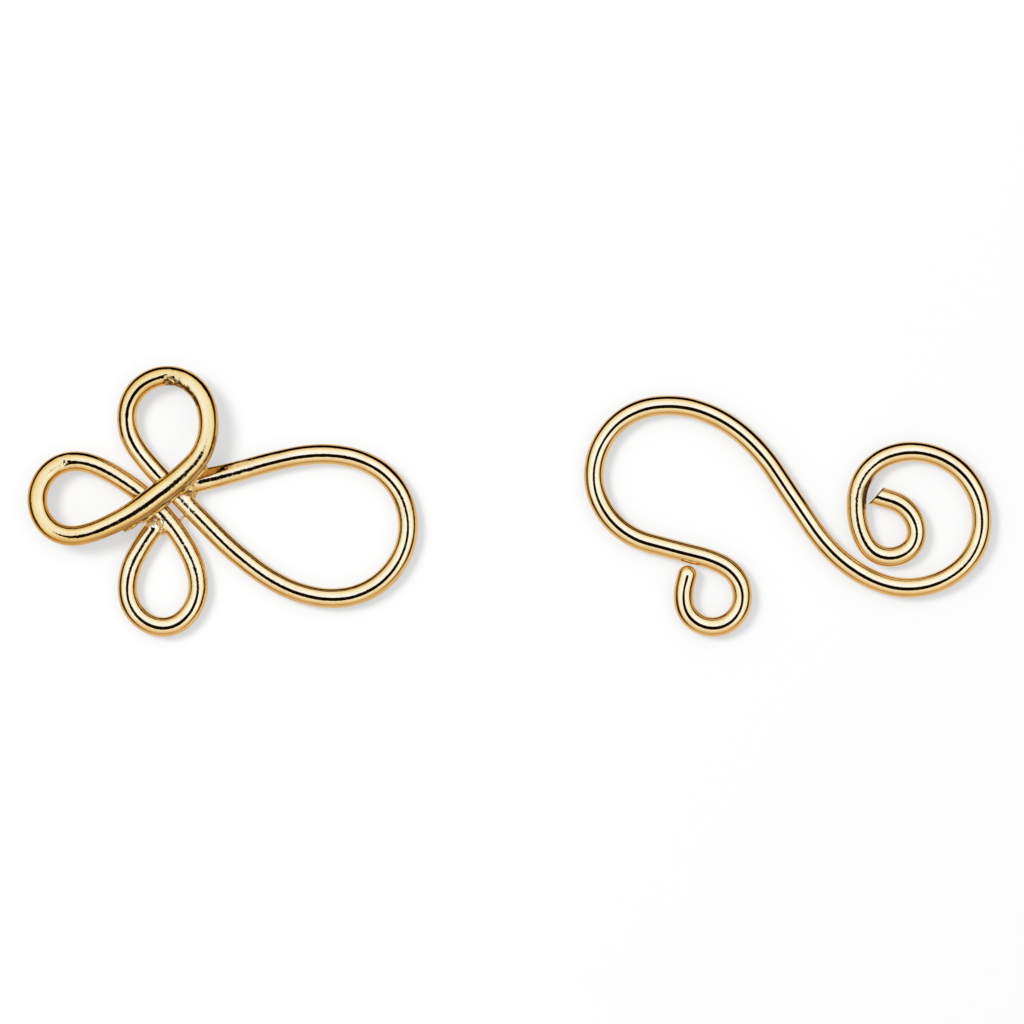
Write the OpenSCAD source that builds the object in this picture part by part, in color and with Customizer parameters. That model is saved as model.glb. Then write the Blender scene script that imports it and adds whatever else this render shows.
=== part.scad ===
/* [Wire] */
// Diameter of the round brass wire that both halves are bent from
wire_d = 1.3; // [1:0.05:1.6]
// Clear distance between the two halves as they lie side by side
lay_gap = 10.8; // [4:0.2:30]

/* [Hook: ring and coil] */
// Width of the ring at the hook's right end, over the outside of the wire
ring_w = 9.4; // [8.8:0.2:12]
// Reach of the small coil from the ring's left side, over the outside of the wire
coil_w = 5.1; // [4.4:0.1:5.6]
// Clear gap between the wire's slanted end and the ring beside it
coil_gap = 0.1; // [0.05:0.05:0.4]
// Slant of the snipped end inside the coil, in degrees
cut_slant = 25; // [0:5:45]

/* [Hook: shank and bay] */
// Straight middle of the shank, between the ring and the bay
shank_l = 4.4; // [3:0.1:8]
// Height of the open bay that catches the eye, over the outside of the wire
bay_h = 10.4; // [9:0.1:14]
// Straight run between the bay and the curl at the tip
neck_l = 3.3; // [2:0.1:5]
// Width of the curl at the hook's tip, over the outside of the wire
curl_w = 5.2; // [4.4:0.1:7]
// Clear gap between the curl's rounded end and the neck above it
tip_gap = 0.1; // [0.05:0.05:0.4]

/* [Eye] */
// Length of the big loop, from the crossing to its outside
loop_l = 16.6; // [13:0.2:22]
// Width of the big loop over the outside of the wire
loop_w = 10.5; // [8.5:0.5:14]
// Length of the upper petal, from the crossing to its outside
upper_l = 8.4; // [7.6:0.1:11]
// Width of the upper petal over the outside of the wire
upper_w = 6.8; // [5.4:0.1:8]
// Length of the left petal, from the crossing to its outside
left_l = 9; // [7.6:0.1:11]
// Width of the left petal over the outside of the wire
left_w = 6.2; // [5.2:0.1:8]
// Length of the lower petal, from the crossing to its outside
lower_l = 9.1; // [7.6:0.1:11]
// Width of the lower petal over the outside of the wire
lower_w = 6.1; // [5.2:0.1:8]
// Clear gap between the two wires that pass side by side under the crossing
pass_gap = 0.3; // [0.2:0.05:0.6]
// How far the crossing wire is sunk into the solder on the wires below it
solder_sink = 0.06; // [0.03:0.01:0.15]

/* [Hidden] */
wire_r = wire_d / 2;
// flat sides round the wire, and the most that it turns from one ring of them to the next
wire_sides = 20;
ring_turn = 12;
// flat sides round a drop of solder
drop_sides = 12;
// rings of the dome at the curl's end, and how far short of its pole the last one lies, in degrees
dome_rings = 4;
dome_flat = 10;

// Columns of the bend tables. A row is one bend in the order that the wire runs: its radius
// as a share of the size named beside the table, and the degrees that it turns, + to the left.
// The eye's rows also say which layer the wire reaches, 0 on the ground and 1 over the crossing.
RADIUS = 0;
TURN = 1;
LAYER = 2;

// Hook, from the shank's right end round the ring, shares of ring_w
RING_BENDS = [
    [1.25, 10], [1, 13], [0.78, 16], [0.55, 58], [0.43, 44],
    [0.475, 40], [0.485, 51], [0.455, 27], [0.34, 60]
];
// Hook, on from the ring round the small coil, shares of coil_w
COIL_BENDS = [
    [1.03, 24], [0.81, 14], [0.35, 65], [0.39, 30], [0.28, 41], [0.36, 32], [0.45, 51], [1, 3]
];
// Hook, from the shank's left end round the bay, shares of bay_h
BAY_BENDS = [
    [1.11, 15], [0.79, 22], [0.63, 27], [0.44, 77], [0.39, 29], [0.47, 48], [0.75, 3.5]
];
// Hook, on from the neck round the curl, shares of curl_w
CURL_BENDS = [
    [1.3, -12], [0.53, -23], [0.42, -57], [0.37, -124], [0.33, -30], [0.6, -24]
];
// Direction of the shank, seen from above
shank_turn = -56;

// Eye, from the big loop's soldered end round the loop to the crossing, shares of loop_l
LOOP_BENDS = [
    [2.65, 6, 0], [2.1, -3.5, 0], [0.7, -10, 0], [0.49, -15, 0], [0.34, -16, 0], [0.265, -81, 0],
    [0.29, -64, 0], [0.375, -19.5, 0], [0.53, -13.5, 0], [0.7, -10.5, 0], [1.36, -8, 0], [7.5, -2, 0]
];
// Eye, from under the crossing round the upper petal to over it, shares of upper_l
UPPER_BENDS = [
    [3.1, -6, 0], [0.78, -9, 0.02], [0.38, -36.5, 0.12], [0.305, -137, 0.72], [0.365, -19, 0.82],
    [0.52, -40, 1], [0.4, -20, 1], [1.6, -12, 1]
];
// Eye, from over the crossing round the left petal to under it, shares of left_l
LEFT_BENDS = [
    [1.6, -5, 1], [1.75, -12, 0.96], [0.8, -10, 0.88], [0.365, -18, 0.8], [0.265, -171, 0.22],
    [0.355, -19, 0.12], [0.7, -9.5, 0.05], [1.54, -17, 0]
];
// Eye, from under the crossing round the lower petal to its soldered end, shares of lower_l
LOWER_BENDS = [
    [1.29, -15.5, 0], [0.83, -8, 0], [0.55, -12, 0], [0.33, -59, 0], [0.22, -60, 0],
    [0.275, -70, 0], [0.46, -27, 0], [1.4, -10, 0]
];
// Heading of the wire where each of the eye's loops leaves the crossing, and the way that loop points
loop_heading = 10;
loop_axis = -9;
upper_heading = 135;
upper_axis = 88;
left_heading = 218;
left_axis = 179;
lower_heading = -45.5;
lower_axis = -92.5;

// Heading of the two wires that pass under the crossing, and the level directions along and across them
pass_heading = -45;
pass_along = [cos(pass_heading), sin(pass_heading)];
pass_across = [-sin(pass_heading), cos(pass_heading)];
// each passing wire lies half a pitch to its side of the crossing
pass_off = (wire_d + pass_gap) / 2;
layer_rise = wire_d - solder_sink;

// Places as shares of the wire's diameter, along the passing wires: the wire that crosses them, and the
// two soldered ends, whose middles stand out from the nearer passing wire's middle line
cross_along = -0.3;
cross_at = cross_along * wire_d * pass_along;
end_out = 0.8;
loop_end_along = 0.26;
lower_end_along = 0.7;

// Columns of the solder tables. A row is one round drop: its place along the passing wires, outwards
// from the nearer passing wire's middle line and up from the ground, then
// its radius, all as shares of the wire's diameter. The solder fills the space between a table's drops.
ALONG = 0;
OUT = 1;
UP = 2;
SIZE = 3;

// Solder in the four corners where the crossing wire lies on a passing one
CORNER_DROPS = [
    [-0.7, -0.4, 1, 0.15], [0.18, -0.4, 1, 0.15], [0.18, 0.4, 1, 0.15], [-0.7, 0.4, 1, 0.15]
];
// Solder from the big loop's end to the passing wire beside it, and from that end to the crossing wire
LOOP_END_SIDE = [[0.26, 0.8, 0.5, 0.42], [0.85, 0.58, 0.45, 0.25]];
LOOP_END_TOP = [[0.26, 0.8, 0.65, 0.3], [0.55, 1.21, 1, 0.15]];
// Solder from the lower petal's end to the passing wire beside it, and from that end to the crossing wire
LOWER_END_SIDE = [[0.7, 0.8, 0.5, 0.42], [1.05, 0.5, 0.45, 0.25]];
LOWER_END_TOP = [[0.7, 0.8, 0.65, 0.3], [0.35, 0.45, 1, 0.15]];
// Small web of solder between the two passing wires where they part
WEB_DROPS = [[1.3, -0.9, 0.5, 0.15], [1.3, -0.4, 0.5, 0.15]];

function unit(v) = v / norm(v);
function level(a) = [cos(a), sin(a)];
function turned(p, a) = [p.x * cos(a) - p.y * sin(a), p.x * sin(a) + p.y * cos(a)];
function side_of(p, a) = cos(a) * p.y - sin(a) * p.x;
function total_turn(rows) = [for (i = 0, sum = 0; i < len(rows); sum = sum + rows[i][TURN], i = i + 1)
    sum + rows[i][TURN]][len(rows) - 1];

// Point reached by a bend that starts at p with the given heading
function past_bend(p, heading, radius, turn) =
    let (centre = p + sign(turn) * radius * level(heading + 90))
    centre - sign(turn) * radius * level(heading + turn + 90);

// Middle line through the rows of a bend table, as [x, y, layer] after the starting point
function bend_line(rows, size, p, heading, layer = 0, i = 0) =
    i == len(rows) ? [] :
    let (
        radius = rows[i][RADIUS] * size,
        turn = rows[i][TURN],
        last_layer = len(rows[i]) > LAYER ? rows[i][LAYER] : layer,
        steps = ceil(abs(turn) / ring_turn)
    )
    concat(
        [for (k = [1:steps])
            let (q = past_bend(p, heading, radius, turn * k / steps))
            [q.x, q.y, layer + (last_layer - layer) * k / steps]],
        bend_line(rows, size, past_bend(p, heading, radius, turn), heading + turn, last_layer, i + 1)
    );

function last_of(line) = [line[len(line) - 1].x, line[len(line) - 1].y];
function backwards(line) = [for (i = [len(line) - 1:-1:0]) line[i]];

// Length of a straight run from p until it is as near as allowed to the line through q
function run_up_to(p, heading, q, q_heading, allowed) =
    (abs(side_of(p - q, q_heading)) - allowed) / abs(sin(heading - q_heading));

// One loop of the eye: its bends, stretched to the length and width that are asked for and
// laid from one place at the crossing to another, with what is left over shared along the wire
function petal_line(rows, l, w, heading, axis, from, to, layer = 0) =
    let (
        raw = concat([[0, 0, layer]], bend_line(rows, l, [0, 0], heading, layer)),
        laid = [for (p = raw) let (q = turned(p, -axis)) [q.x, q.y, p.z]],
        reach = max([for (p = laid) p.x]),
        spread = max([for (p = laid) p.y]) - min([for (p = laid) p.y]),
        long = (l - wire_r - turned(from, -axis).x) / reach,
        wide = (w - wire_d) / spread,
        last = len(raw) - 1,
        placed = [for (p = laid) let (q = turned([p.x * long, p.y * wide], axis)) [q.x, q.y, p.z]],
        miss = to - from - last_of(placed)
    )
    [for (i = [1:last])
        [for (j = [0:1]) from[j] + placed[i][j] + miss[j] * i / last, placed[i].z]];

// Place near the crossing, from shares of the wire's diameter along the passing wires and outwards from
// the one on this side (1) or the other (-1)
function near_crossing(along, out, side) =
    along * wire_d * pass_along + side * (pass_off + out * wire_d) * pass_across;

// Middle line of the eye, with the middle between the passing wires at the origin
loop_start = near_crossing(loop_end_along, end_out, 1);
lower_end = near_crossing(lower_end_along, end_out, -1);
loop_line = petal_line(LOOP_BENDS, loop_l, loop_w, loop_heading, loop_axis,
    loop_start, pass_off * pass_across);
upper_line = petal_line(UPPER_BENDS, upper_l, upper_w, upper_heading, upper_axis,
    pass_off * pass_across, cross_at);
left_line = petal_line(LEFT_BENDS, left_l, left_w, left_heading, left_axis,
    cross_at, -pass_off * pass_across, 1);
lower_line = petal_line(LOWER_BENDS, lower_l, lower_w, lower_heading, lower_axis,
    -pass_off * pass_across, lower_end);
eye_line = concat([[loop_start.x, loop_start.y, 0]], loop_line, upper_line, left_line, lower_line);
// the wire crosses itself, so its skin is made in three lengths that meet at the petals' far ends,
// where each length reaches a thinner core into the next
core_share = 0.6;
upper_far = len(loop_line) + floor(len(upper_line) / 2);
left_far = len(loop_line) + len(upper_line) + floor(len(left_line) / 2);

// Middle line of the hook, with the shank's right end at the origin
ring_line = bend_line(RING_BENDS, ring_w, [0, 0], shank_turn);
coil_heading = shank_turn + total_turn(RING_BENDS);
coil_line = bend_line(COIL_BENDS, coil_w, last_of(ring_line), coil_heading);
coil_end_heading = coil_heading + total_turn(COIL_BENDS);
ring_left = [min([for (i = [floor(len(ring_line) / 2):len(ring_line) - 1]) ring_line[i].x]), 0];
// the slanted end's long corner stands out from its middle, towards the ring
corner_out = wire_r * (abs(sin(coil_end_heading)) + tan(cut_slant) * abs(cos(coil_end_heading)));
coil_run = run_up_to(last_of(coil_line), coil_end_heading, ring_left, 90, wire_r + coil_gap + corner_out);
coil_end = last_of(coil_line) + coil_run * level(coil_end_heading);

bay_start = -shank_l * level(shank_turn);
bay_line = bend_line(BAY_BENDS, bay_h, bay_start, shank_turn + 180);
neck_heading = shank_turn + 180 + total_turn(BAY_BENDS);
neck_end = last_of(bay_line) + neck_l * level(neck_heading);
curl_line = bend_line(CURL_BENDS, curl_w, neck_end, neck_heading);
curl_end_heading = neck_heading + total_turn(CURL_BENDS);
curl_run = run_up_to(last_of(curl_line), curl_end_heading, neck_end, neck_heading, wire_d + tip_gap);
curl_end = last_of(curl_line) + curl_run * level(curl_end_heading);
hook_line = concat(
    [[curl_end.x, curl_end.y, 0]],
    backwards(curl_line),
    [[neck_end.x, neck_end.y, 0]],
    backwards(bay_line),
    [[bay_start.x, bay_start.y, 0], [0, 0, 0]],
    ring_line,
    coil_line,
    [[coil_end.x, coil_end.y, 0]]
);

// The halves lie side by side with their lower edges in line, centred together on the origin
function edges(line) = [
    min([for (p = line) p.x]) - wire_r, max([for (p = line) p.x]) + wire_r,
    min([for (p = line) p.y]) - wire_r, max([for (p = line) p.y]) + wire_r
];
eye_edges = edges(eye_line);
hook_edges = edges(hook_line);
eye_w = eye_edges[1] - eye_edges[0];
hook_w = hook_edges[1] - hook_edges[0];
lay_l = eye_w + lay_gap + hook_w;
lay_h = max(eye_edges[3] - eye_edges[2], hook_edges[3] - hook_edges[2]);
eye_at = [-lay_l / 2 - eye_edges[0], -lay_h / 2 - eye_edges[2]];
hook_at = [lay_l / 2 - hook_edges[1], -lay_h / 2 - hook_edges[2]];

// Skin of the wire: one ring of points round each point of the middle line
function raised(line) = [for (p = line) [p.x, p.y, wire_r + layer_rise * p.z]];
function heading_at(line, i) = unit(line[min(i + 1, len(line) - 1)] - line[max(i - 1, 0)]);
function skin_ring(p, along, radius, slant = 0) =
    let (across = unit([-along.y, along.x, 0]), up = cross(along, across))
    [for (k = [0:wire_sides - 1])
        let (a = 360 * k / wire_sides)
        p + radius * (cos(a) * (across + tan(slant) * along) + sin(a) * up)];
function skin(line) = [for (i = [0:len(line) - 1]) skin_ring(line[i], heading_at(line, i), wire_r)];
function core_ring(line, i) = skin_ring(line[i], heading_at(line, i), core_share * wire_r);
// rings that close a wire end to a dome, from the wire outwards
function dome(p, along) = [for (k = [1:dome_rings])
    let (a = (90 - dome_flat) * k / dome_rings)
    skin_ring(p + wire_r * sin(a) * along, along, wire_r * cos(a))];

module tube(rings) {
    count = len(rings);
    sides = [for (i = [0:count - 2], k = [0:wire_sides - 1])
        let (a = i * wire_sides, b = a + wire_sides, n = (k + 1) % wire_sides)
        [a + k, b + k, b + n, a + n]];
    polyhedron(
        points = [for (ring = rings, p = ring) p],
        faces = concat(
            [[for (k = [0:wire_sides - 1]) k]],
            sides,
            [[for (k = [wire_sides - 1:-1:0]) (count - 1) * wire_sides + k]]
        )
    );
}

// Solder filling the space between a table's drops, on one side of the crossing (1) or the other (-1)
module solder(drops, side) {
    rotate(pass_heading) hull()
        for (d = drops)
            translate([d[ALONG] * wire_d, side * (pass_off + d[OUT] * wire_d), d[UP] * wire_d])
                sphere(r = d[SIZE] * wire_d, $fn = drop_sides);
}

// The eye: one wire bent to a big loop and three petals, its ends and crossings soldered
module eye() {
    color("gold") translate(eye_at) union() {
        line = raised(eye_line);
        rings = skin(line);
        tube(concat([for (i = [0:upper_far]) rings[i]], [core_ring(line, upper_far + 1)]));
        tube(concat([for (i = [upper_far:left_far]) rings[i]], [core_ring(line, left_far + 1)]));
        tube([for (i = [left_far:len(rings) - 1]) rings[i]]);
        solder(CORNER_DROPS, 1);
        solder(CORNER_DROPS, -1);
        solder(LOOP_END_SIDE, 1);
        solder(LOOP_END_TOP, 1);
        solder(LOWER_END_SIDE, -1);
        solder(LOWER_END_TOP, -1);
        solder(WEB_DROPS, 1);
    }
}

// The hook: one wire bent in a long S, with a curl at its tip and a coil inside its ring
module hook() {
    color("gold") translate(hook_at) {
        line = raised(hook_line);
        last = len(line) - 1;
        rings = skin(line);
        tip = dome(line[0], -heading_at(line, 0));
        snipped = skin_ring(line[last], heading_at(line, last), wire_r, cut_slant);
        tube(concat(
            [for (k = [dome_rings - 1:-1:0]) [for (j = [0:wire_sides - 1])
                tip[k][(wire_sides / 2 - j + wire_sides) % wire_sides]]],
            [for (i = [0:last - 1]) rings[i]],
            [snipped]
        ));
    }
}

eye();
hook();
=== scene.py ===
import bmesh
import bpy
import numpy as np
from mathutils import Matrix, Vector


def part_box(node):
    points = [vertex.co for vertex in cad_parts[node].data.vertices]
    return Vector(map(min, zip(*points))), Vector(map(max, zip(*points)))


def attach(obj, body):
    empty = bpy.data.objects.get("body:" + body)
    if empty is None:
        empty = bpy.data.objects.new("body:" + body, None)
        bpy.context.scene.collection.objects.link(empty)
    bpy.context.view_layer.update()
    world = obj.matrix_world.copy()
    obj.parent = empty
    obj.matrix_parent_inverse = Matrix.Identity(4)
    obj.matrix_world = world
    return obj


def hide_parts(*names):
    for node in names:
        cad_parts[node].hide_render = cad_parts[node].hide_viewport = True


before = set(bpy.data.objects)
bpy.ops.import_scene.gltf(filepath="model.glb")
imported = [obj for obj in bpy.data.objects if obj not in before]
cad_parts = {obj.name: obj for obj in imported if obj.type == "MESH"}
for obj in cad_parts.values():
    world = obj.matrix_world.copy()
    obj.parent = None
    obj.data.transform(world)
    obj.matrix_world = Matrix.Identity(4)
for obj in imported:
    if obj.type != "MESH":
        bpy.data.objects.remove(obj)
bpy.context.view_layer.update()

# ---- The hook's wire
# One length of round half-hard brass wire, 1.3 mm thick, bent cold round pins to a long S: a curl at the
# tip, the open bay that catches the eye, a straight shank, a ring, and a small coil inside the ring.
# It is polished and gold plated after bending. Its tip is rounded, its inner end snipped at a slant.

# sizes of the wires are in millimetres, and a middle line has a point every STEP
MM = 0.001
WIRE_D = 1.3
WIRE_R = WIRE_D / 2
STEP = 0.04

RING_W, COIL_W, COIL_GAP = 9.4, 5.1, 0.1
SHANK_L, BAY_H, NECK_L, CURL_W, TIP_GAP = 4.4, 10.4, 3.3, 5.2, 0.1
SHANK_TURN = -56
HOOK_EASE = 0.28

# bends from the shank outwards both ways: radius as a share of the size it belongs to, degrees to the left
RING_BENDS = [(1.25, 10), (1, 13), (0.78, 16), (0.55, 58), (0.43, 44),
              (0.475, 40), (0.485, 51), (0.455, 27), (0.34, 60)]
COIL_BENDS = [(1.03, 24), (0.81, 14), (0.35, 65), (0.39, 30), (0.28, 41), (0.36, 32), (0.45, 51), (1, 3)]
CUT_SLANT, CUT_EDGE = 25, 0.05
BAY_BENDS = [(1.11, 15), (0.79, 22), (0.63, 27), (0.44, 77), (0.39, 29), (0.47, 48), (0.75, 3.5)]
CURL_BENDS = [(1.3, -12), (0.53, -23), (0.42, -57), (0.37, -124), (0.33, -30), (0.6, -24)]
TURN_STEP = 12


def bend_path(rows, size, start, heading, layer=0.0):
    """Middle line through a bend table: each row is an arc of radius share * size that turns by its
    degrees, its layer rising evenly. Columns x, y, layer and the count so far of steps of TURN_STEP
    degrees, rounded up in each arc."""
    at, head, count = np.array(start, float), np.radians(heading), 0
    parts = [np.array([[at[0], at[1], layer, 0.0]])]
    for share, turn, *top in rows:
        radius, angle = share * size, np.radians(turn)
        side = np.sign(angle)
        pieces = max(2, int(np.ceil(abs(angle) * radius / STEP)))
        t = np.arange(1, pieces + 1) / pieces
        centre = at + side * radius * np.array([-np.sin(head), np.cos(head)])
        along = head + angle * t
        xy = centre + side * radius * np.column_stack([np.sin(along), -np.cos(along)])
        reached = top[0] if top else layer
        steps = np.ceil(abs(turn) / TURN_STEP)
        parts.append(np.column_stack([xy, layer + (reached - layer) * t, count + steps * t]))
        at, head, layer, count = xy[-1], head + angle, reached, count + steps
    return np.vstack(parts), np.degrees(head)


def level(angle):
    """Unit vector at an angle in degrees, seen from above."""
    return np.array([np.cos(np.radians(angle)), np.sin(np.radians(angle))])


def run_up_to(p, heading, q, q_heading, allowed):
    """Length of a straight run from p until it is as near as allowed to the line through q: the distance
    of p from that line less what is allowed, over the sine of the angle between run and line."""
    away = level(q_heading)[0] * (p - q)[1] - level(q_heading)[1] * (p - q)[0]
    return (abs(away) - allowed) / abs(np.sin(np.radians(heading - q_heading)))


def eased(line, width):
    """Line with points every STEP mm and its bends eased into each other: S is the average of the
    neighbours under a bell curve of this width, and 2 S(p) - S(S(p)) takes off S's pull to the inside of
    a bend. The line is mirrored through its ends, so they stay where they are."""
    run = np.concatenate([[0], np.cumsum(np.linalg.norm(np.diff(line[:, :2], axis=0), axis=1))])
    keep = np.concatenate([[True], np.diff(run) > 1e-6])
    run, line = run[keep], line[keep]
    even = np.linspace(0, run[-1], int(round(run[-1] / STEP)) + 1)
    line = np.column_stack([np.interp(even, run, column) for column in line.T])
    reach = int(round(4 * width / STEP))
    bell = np.exp(-0.5 * (np.arange(-reach, reach + 1) * STEP / width) ** 2)
    bell /= bell.sum()

    def average(p):
        before = 2 * p[0] - p[reach:0:-1]
        after = 2 * p[-1] - p[-2:-reach - 2:-1]
        whole = np.vstack([before, p, after])
        return np.column_stack([np.convolve(column, bell, mode="valid") for column in whole.T])

    once = average(line)
    return 2 * once - average(once)


ring_path, coil_heading = bend_path(RING_BENDS, RING_W, (0, 0), SHANK_TURN)
coil_path, coil_end_heading = bend_path(COIL_BENDS, COIL_W, ring_path[-1, :2], coil_heading)
ring_left = np.array([ring_path[len(ring_path) // 2:, 0].min(), 0.0])
corner_out = WIRE_R * (abs(level(coil_end_heading)[1])
                       + np.tan(np.radians(CUT_SLANT)) * abs(level(coil_end_heading)[0]))
coil_end = coil_path[-1, :2] + level(coil_end_heading) * run_up_to(
    coil_path[-1, :2], coil_end_heading, ring_left, 90, WIRE_R + COIL_GAP + corner_out)
bay_start = -SHANK_L * level(SHANK_TURN)
bay_path, neck_heading = bend_path(BAY_BENDS, BAY_H, bay_start, SHANK_TURN + 180)
neck_end = bay_path[-1, :2] + NECK_L * level(neck_heading)
curl_path, curl_end_heading = bend_path(CURL_BENDS, CURL_W, neck_end, neck_heading)
curl_end = curl_path[-1, :2] + level(curl_end_heading) * run_up_to(
    curl_path[-1, :2], curl_end_heading, neck_end, neck_heading, WIRE_D + TIP_GAP)
hook_path = np.vstack([curl_end, curl_path[::-1, :2], bay_path[::-1, :2], ring_path[:, :2],
                       coil_path[:, :2], coil_end])
hook_path = np.column_stack([hook_path, np.zeros(len(hook_path))])

# the hook lies with its right edge and lower edge on its solid's
hook_low, hook_high = (np.array(corner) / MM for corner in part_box("hook"))
hook_path[:, 0] += hook_high[0] - WIRE_R - hook_path[:, 0].max()
hook_path[:, 1] += hook_low[1] + WIRE_R - hook_path[:, 1].min()
hook_line = eased(hook_path, HOOK_EASE)
hook_line[:, 2] = WIRE_R


def frames(line):
    """Directions at each point of a line: along it, level across it to the left, and up, square to both."""
    along = np.gradient(line, axis=0)
    along /= np.linalg.norm(along, axis=1, keepdims=True)
    across = np.column_stack([-along[:, 1], along[:, 0], np.zeros(len(line))])
    across /= np.linalg.norm(across, axis=1, keepdims=True)
    return along, across, np.cross(along, across)


def skin(line, wide, high, sides, first_end, last_end):
    """A round profile carried along a line: ring point = middle + wide cos(a) across + high sin(a) up.
    An end is a table of (advance, share of the radius, slant of the ring in degrees) from the wire to
    the pole, by which the last ring is moved outwards along the wire, made smaller and slanted."""
    along, across, up = frames(line)
    wide, high = np.broadcast_to(wide, len(line)), np.broadcast_to(high, len(line))
    a = 2 * np.pi * np.arange(sides) / sides
    cos, sin = np.cos(a)[None, :, None], np.sin(a)[None, :, None]

    def rings(middle, ahead, sideways, upwards, half_wide, half_high, slant):
        lean = np.tan(np.radians(slant))[:, None]
        return (middle[:, None] + cos * (half_wide[:, None] * (sideways + lean * ahead))[:, None]
                + sin * (half_high[:, None] * upwards)[:, None])

    def end_rings(i, table, outward):
        advance, share, slant = np.array(table, float).T
        one = np.ones(len(table))[:, None]
        return rings(line[i] + outward * advance[:, None] * along[i], one * along[i], one * across[i],
                     one * up[i], wide[i] * share, high[i] * share, slant)

    body = rings(line, along, across, up, wide, high, np.zeros(len(line)))
    whole = np.concatenate([end_rings(0, first_end, -1)[::-1], body, end_rings(len(line) - 1, last_end, 1)])
    count = len(whole)
    ring = np.arange(count - 1)[:, None] * sides
    here = np.arange(sides)[None, :]
    beside = (here + 1) % sides
    quads = np.stack([ring + here, ring + beside, ring + sides + beside, ring + sides + here], axis=-1)
    poles = np.array([whole[0].mean(axis=0), whole[-1].mean(axis=0)])
    first, last = count * sides, count * sides + 1
    around = np.arange(sides)
    rim = last - 1 - sides
    fans = np.vstack([
        np.column_stack([np.full(sides, first), np.roll(around, -1), around]),
        np.column_stack([np.full(sides, last), rim + around, rim + np.roll(around, -1)])])
    return np.vstack([whole.reshape(-1, 3), poles]), quads.reshape(-1, 4), fans


def round_end(radius, bulge, rings):
    """End closed to a dome: at angle b the ring has moved out by bulge * radius * sin(b) and shrunk to
    cos(b) of its radius."""
    b = np.radians(90) * np.arange(1, rings + 1) / (rings + 1)
    return np.column_stack([bulge * radius * np.sin(b), np.cos(b), np.zeros(rings)])


def snipped_end(radius, edge, slant, rings, lead):
    """End cut at a slant, its face a length lead past the last point: rings that lean more and more, an
    eased edge of this radius, then a nearly flat face that stands out in its middle by a third of it."""
    f = np.arange(1, rings + 1) / rings
    leaning = np.column_stack([f * (lead - edge), np.ones(rings), slant * f])
    b = np.radians(90) * f
    rim = np.column_stack([lead + edge * (np.sin(b) - 1), 1 - edge / radius * (1 - np.cos(b)),
                           np.full(rings, slant)])
    share = np.linspace(rim[-1, 1], 0, rings + 1)[1:-1]
    face = np.column_stack([lead + edge / 3 * (1 - share ** 2), share, np.full(rings - 1, slant)])
    return np.vstack([leaning, rim, face])


def hand_waves(points, seed, height, longest, shortest):
    """Uneven height of a hand-worked surface at each point: a sum of 30 plane waves with seeded directions
    and phases, from the longest to the shortest wave length, all of the same steepness."""
    random = np.random.default_rng(seed)
    length = np.geomspace(longest, shortest, 30)
    way = random.normal(size=(30, 3))
    way *= (2 * np.pi / length / np.linalg.norm(way, axis=1))[:, None]
    phase = random.uniform(0, 2 * np.pi, 30)
    return height / np.sqrt(30) * np.sin(points @ way.T + phase) @ (length / longest)


def mesh_object(name, points, quads, fans):
    """Mesh object at the origin from points in millimetres, quads and triangles, doubles merged and faces
    turned outwards, shaded smooth."""
    mesh = bpy.data.meshes.new(name)
    mesh.from_pydata((points * MM).tolist(), [], quads.tolist() + fans.tolist())
    work = bmesh.new()
    work.from_mesh(mesh)
    bmesh.ops.remove_doubles(work, verts=work.verts, dist=1e-8)
    bmesh.ops.recalc_face_normals(work, faces=work.faces)
    work.to_mesh(mesh)
    work.free()
    mesh.shade_smooth()
    piece = bpy.data.objects.new(name, mesh)
    bpy.context.scene.collection.objects.link(piece)
    return piece


def mesh_points(piece):
    """Places of a piece's points in millimetres."""
    places = np.empty(len(piece.data.vertices) * 3)
    piece.data.vertices.foreach_get("co", places)
    return places.reshape(-1, 3) / MM


def moved_out(piece, height):
    """Moves each point of a piece along its normal by the height in millimetres that a function gives for
    the points' places."""
    points = mesh_points(piece)
    normals = np.empty(points.size)
    piece.data.vertex_normals.foreach_get("vector", normals)
    moved = points + normals.reshape(-1, 3) * height(points)[:, None]
    piece.data.vertices.foreach_set("co", (moved * MM).ravel())
    piece.data.update()


def marked(piece, name, values):
    """Stores a value at each point of a piece for its material to read."""
    piece.data.attributes.new(name, "FLOAT", "POINT").data.foreach_set("value", values)


# the skin's profile has SIDES points, with a ring at about every third point of the line; the rings of the
# snipped end start to lean LEAN_STEPS before the line's last point
SIDES, EVERY, LEAN_STEPS = 48, 3, 11
last = len(hook_line) - 1 - LEAN_STEPS
kept = np.round(np.linspace(0, last, last // EVERY + 1)).astype(int)
points, quads, fans = skin(hook_line[kept], WIRE_R, WIRE_R, SIDES, round_end(WIRE_R, 1, 10),
                           snipped_end(WIRE_R, CUT_EDGE, CUT_SLANT, 6, LEAN_STEPS * STEP))
hook_wire = mesh_object("hook_wire", points, quads, fans)

# the hand-drawn and burnished wire is uneven: height, longest and shortest wave
WIRE_WAVES = (0.010, 4.0, 0.9)
moved_out(hook_wire, lambda points: hand_waves(points, 5, *WIRE_WAVES))

# the polish is even on the long S, a little less so on the ring, and uneven round the end of the small coil,
# where the pliers held it
points = mesh_points(hook_wire)
from_coil_end = points[:, :2] - hook_path[-1, :2]
marked(hook_wire, "uneven_polish",
       0.05 + 0.15 * np.clip(from_coil_end[:, 0] / 2 + 1.5, 0, 1)
       + 0.8 * np.exp(-((from_coil_end[:, 0] + 0.5) / 2.2) ** 2 - (from_coil_end[:, 1] / 3.5) ** 2))


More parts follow.
